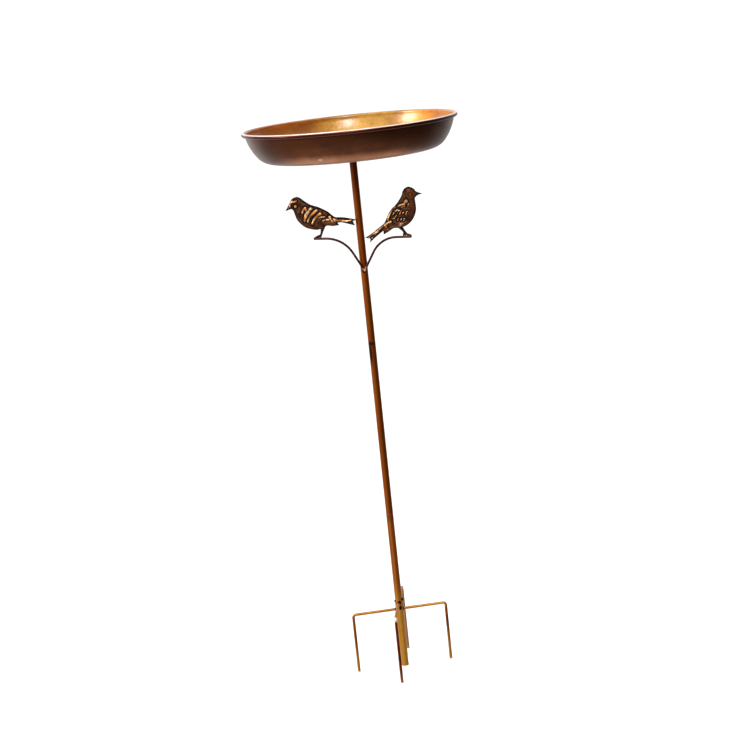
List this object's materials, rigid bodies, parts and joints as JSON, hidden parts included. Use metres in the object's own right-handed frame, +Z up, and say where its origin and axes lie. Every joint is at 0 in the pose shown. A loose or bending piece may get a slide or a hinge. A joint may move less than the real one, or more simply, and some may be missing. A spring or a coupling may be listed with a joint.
{
  "type": "ground-stake bird bath",
  "caption": "Shallow round metal dish on a slender take-apart pole, with two pressed birds on a forked wire perch and a pronged ground stake.",
  "frame": {"origin": "on the pole's axis at the ground line, where the bare spike meets the welded crossing", "axes": "+Z up along the pole, +X along the perch towards the upright bird, -Y towards the front where the perch is welded"},
  "size_m": [0.29, 0.29, 0.7715],
  "materials": {
    "dish_copper": "antique copper lacquer over steel sheet, satin",
    "pole_copper": "antique copper lacquer over steel tube, satin",
    "wire_bronze": "dark antique copper lacquer over steel rod",
    "bird_copper": "antique copper with rubbed highlights over pressed steel",
    "weld_bronze": "lacquered weld bead, rough",
    "zinc_steel": "bright zinc plate",
    "black_rubber": "matt"
  },
  "bodies": {
    "ground_stake": {"lower_pole": "pole_copper", "side_rod": "wire_bronze", "front_rod": "wire_bronze", "fork_welds": "weld_bronze"},
    "middle_section": {"middle_pole": "pole_copper", "middle_plug": "zinc_steel"},
    "upper_section": {"upper_pole": "pole_copper", "upper_plug": "zinc_steel", "pole_top_insert": "zinc_steel", "perch_wire": "wire_bronze", "perch_weld": "weld_bronze", "left_bird_front": "bird_copper", "left_bird_back": "bird_copper", "left_bird_legs": "wire_bronze", "right_bird_front": "bird_copper", "right_bird_back": "bird_copper", "right_bird_legs": "wire_bronze"},
    "washer": {"dish_washer": "black_rubber"},
    "dish_top": {"dish": "dish_copper", "dish_boss": "dish_copper", "dish_stud": "zinc_steel"}
  },
  "joints": [
    {"name": "middle_lift", "type": "slide", "parent": "ground_stake", "child": "middle_section", "axis": [0, 0, 1], "range_m": [0, 0.05]},
    {"name": "upper_lift", "type": "slide", "parent": "middle_section", "child": "upper_section", "axis": [0, 0, 1], "range_m": [0, 0.05]},
    {"name": "dish_rise", "type": "slide", "parent": "upper_section", "child": "washer", "axis": [0, 0, 1], "range_m": [0, 0.014]},
    {"name": "dish_turn", "type": "hinge", "parent": "washer", "child": "dish_top", "pos_m": [0, 0, 0.64325], "axis": [0, 0, 1], "range_deg": [0, 5040]}
  ],
  "couplings": [
    {"joint": "dish_rise", "follows": "dish_turn", "m_per_rad": 0.00015915}
  ]
}
